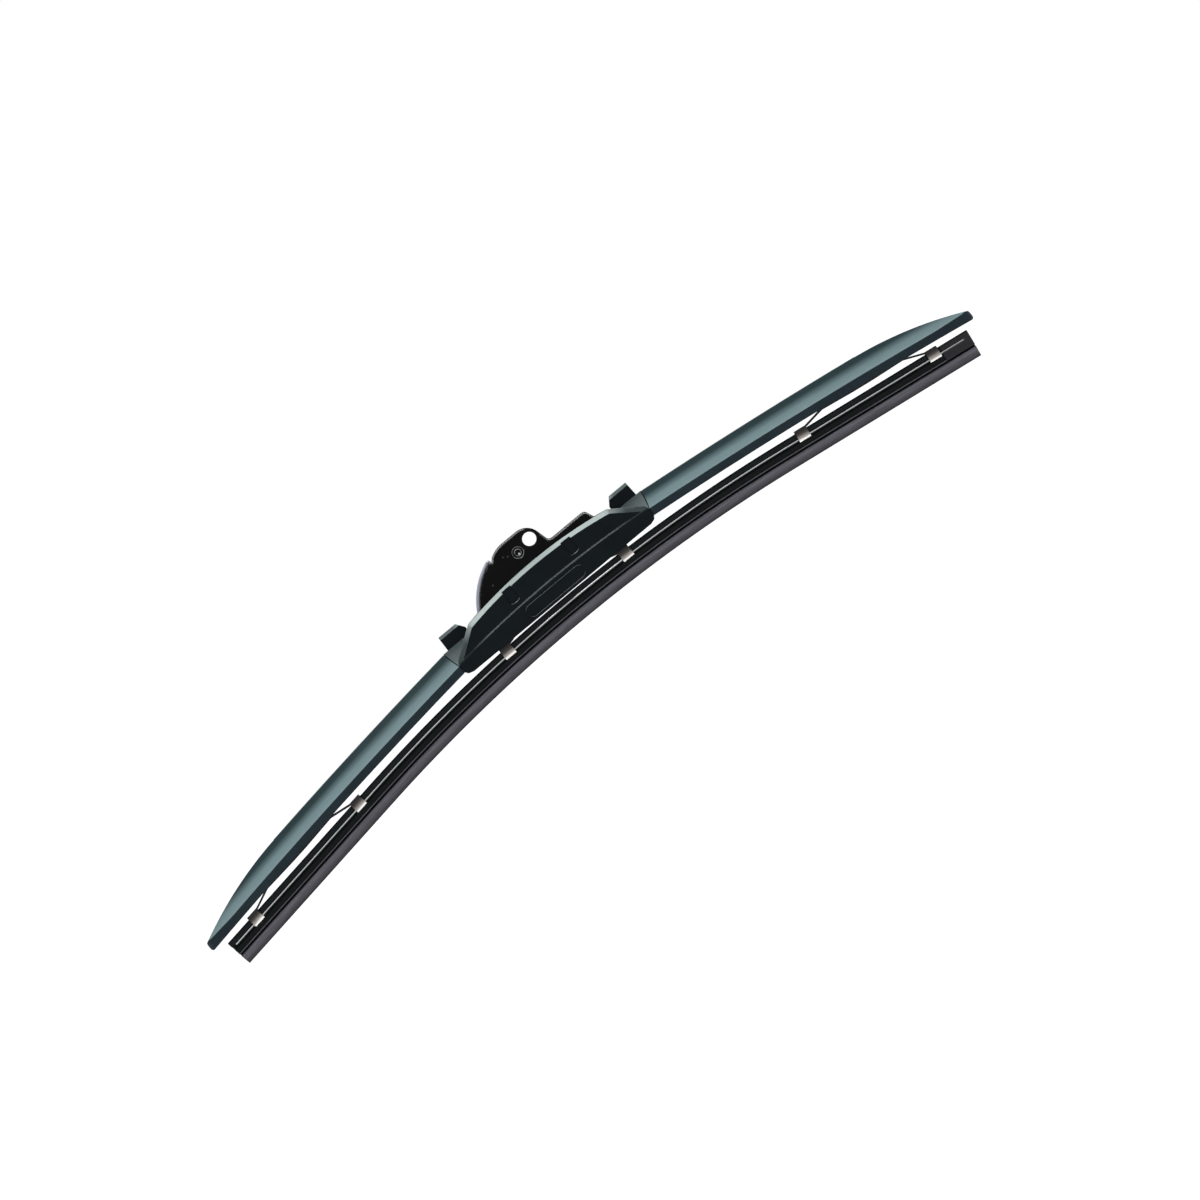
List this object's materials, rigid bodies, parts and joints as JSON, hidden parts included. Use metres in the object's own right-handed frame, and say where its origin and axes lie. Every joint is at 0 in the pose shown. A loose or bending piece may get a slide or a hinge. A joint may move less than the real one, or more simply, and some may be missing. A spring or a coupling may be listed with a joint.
{
  "type": "wiper blade",
  "caption": "Windscreen wiper blade with a centre cover, hinged spoiler wings and rocking yokes that grip a railed rubber strip.",
  "frame": {"origin": "centre of the arm pin's hole, midway between the bracket's two ears", "axes": "+X along the blade, +Y across it along the arm pin, +Z away from the glass"},
  "size_m": [0.472, 0.021, 0.0772],
  "materials": {
    "gloss_black_steel": "glossy black paint on stamped steel",
    "black_cover": "black moulded plastic, satin",
    "grey_cover": "dark grey moulded plastic, satin",
    "black_lever": "black paint on stamped steel",
    "yoke_steel": "zinc-plated stamped steel",
    "pin_steel": "bright riveted steel",
    "liner_plastic": "natural plastic",
    "rubber": "black rubber, grey coated lip",
    "rail_steel": "bright spring steel"
  },
  "bodies": {
    "centre": {"bracket": "gloss_black_steel", "cross_pin": "gloss_black_steel", "centre_cover": "black_cover", "left_hinge_pin": "pin_steel", "right_hinge_pin": "pin_steel", "centre_yoke_pin": "pin_steel", "centre_yoke_liner": "liner_plastic", "rubber_blade": "rubber", "near_rail": "rail_steel", "far_rail": "rail_steel"},
    "left_wing": {"left_cover": "grey_cover", "left_lever": "black_lever", "left_hinge_liner": "liner_plastic", "left_yoke_pin": "pin_steel", "left_yoke_liner": "liner_plastic"},
    "right_wing": {"right_cover": "grey_cover", "right_lever": "black_lever", "right_hinge_liner": "liner_plastic", "right_yoke_pin": "pin_steel", "right_yoke_liner": "liner_plastic"},
    "left_yoke": {"left_yoke": "yoke_steel"},
    "centre_yoke": {"centre_yoke": "yoke_steel"},
    "right_yoke": {"right_yoke": "yoke_steel"}
  },
  "joints": [
    {"name": "left_wing_hinge", "type": "hinge", "parent": "centre", "child": "left_wing", "pos_m": [-0.0536, 0, -0.0235], "axis": [0, 1, 0], "range_deg": [-1, 3], "stiffness_Nm_per_rad": 1, "deforming": ["rubber_blade", "near_rail", "far_rail"]},
    {"name": "right_wing_hinge", "type": "hinge", "parent": "centre", "child": "right_wing", "pos_m": [0.0424, 0, -0.0235], "axis": [0, -1, 0], "range_deg": [-1, 3], "stiffness_Nm_per_rad": 1, "deforming": ["rubber_blade", "near_rail", "far_rail"]},
    {"name": "left_yoke_pivot", "type": "hinge", "parent": "left_wing", "child": "left_yoke", "pos_m": [-0.18051, 0, -0.0429], "axis": [0, 1, 0], "range_deg": [-3, 3], "stiffness_Nm_per_rad": 0.05, "deforming": ["rubber_blade", "near_rail", "far_rail"]},
    {"name": "centre_yoke_pivot", "type": "hinge", "parent": "centre", "child": "centre_yoke", "pos_m": [-0.0056, 0, -0.02727], "axis": [0, 1, 0], "range_deg": [-3, 3], "stiffness_Nm_per_rad": 0.05, "deforming": ["rubber_blade", "near_rail", "far_rail"]},
    {"name": "right_yoke_pivot", "type": "hinge", "parent": "right_wing", "child": "right_yoke", "pos_m": [0.16931, 0, -0.0429], "axis": [0, -1, 0], "range_deg": [-3, 3], "stiffness_Nm_per_rad": 0.05, "deforming": ["rubber_blade", "near_rail", "far_rail"]}
  ]
}
